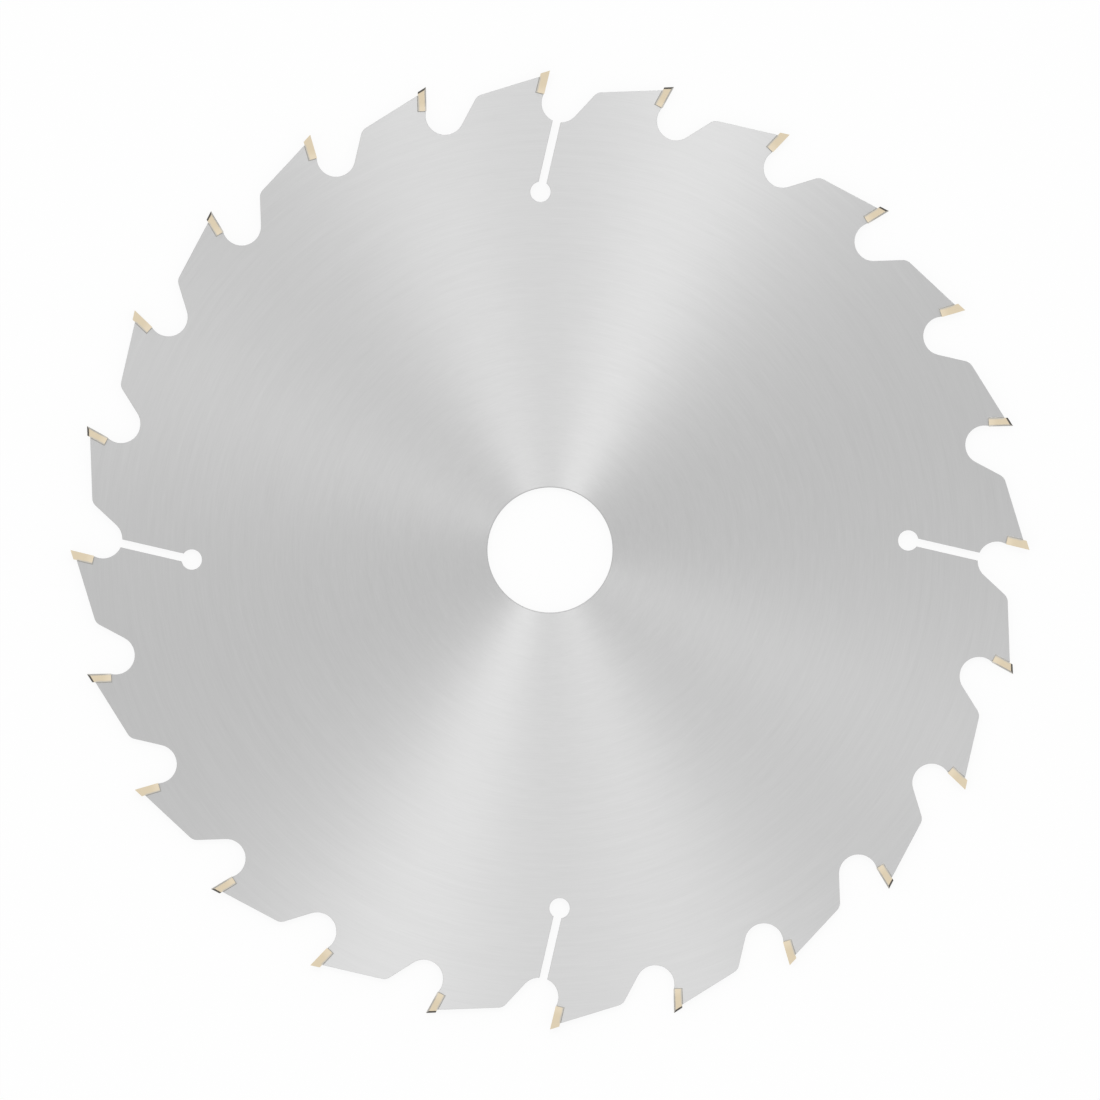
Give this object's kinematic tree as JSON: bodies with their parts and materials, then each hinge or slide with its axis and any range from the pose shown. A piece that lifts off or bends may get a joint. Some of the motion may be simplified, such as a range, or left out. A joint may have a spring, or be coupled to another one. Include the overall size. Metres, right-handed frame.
{
  "type": "circular saw blade",
  "caption": "Flat carbide-tipped circular saw blade with round gullets, leaning expansion slots, alternately bevelled tips and a plain centre bore.",
  "frame": {"origin": "centre of the bore, on the plate's middle plane", "axes": "+Z along the bore's axis, upwards as the blade lies; +Y through the first tooth's cutting point; seen from +Z the blade cuts clockwise"},
  "size_m": [0.23, 0.23, 0.0028],
  "materials": {
    "plate_steel": "circularly ground, satin, with streaks of light that turn about the bore",
    "carbide": "fine-ground satin"
  },
  "bodies": {
    "root": {"blade_plate": "plate_steel", "carbide_tip_01": "carbide", "carbide_tip_02": "carbide", "carbide_tip_03": "carbide", "carbide_tip_04": "carbide", "carbide_tip_05": "carbide", "carbide_tip_06": "carbide", "carbide_tip_07": "carbide", "carbide_tip_08": "carbide", "carbide_tip_09": "carbide", "carbide_tip_10": "carbide", "carbide_tip_11": "carbide", "carbide_tip_12": "carbide", "carbide_tip_13": "carbide", "carbide_tip_14": "carbide", "carbide_tip_15": "carbide", "carbide_tip_16": "carbide", "carbide_tip_17": "carbide", "carbide_tip_18": "carbide", "carbide_tip_19": "carbide", "carbide_tip_20": "carbide", "carbide_tip_21": "carbide", "carbide_tip_22": "carbide", "carbide_tip_23": "carbide", "carbide_tip_24": "carbide"}
  },
  "joints": []
}
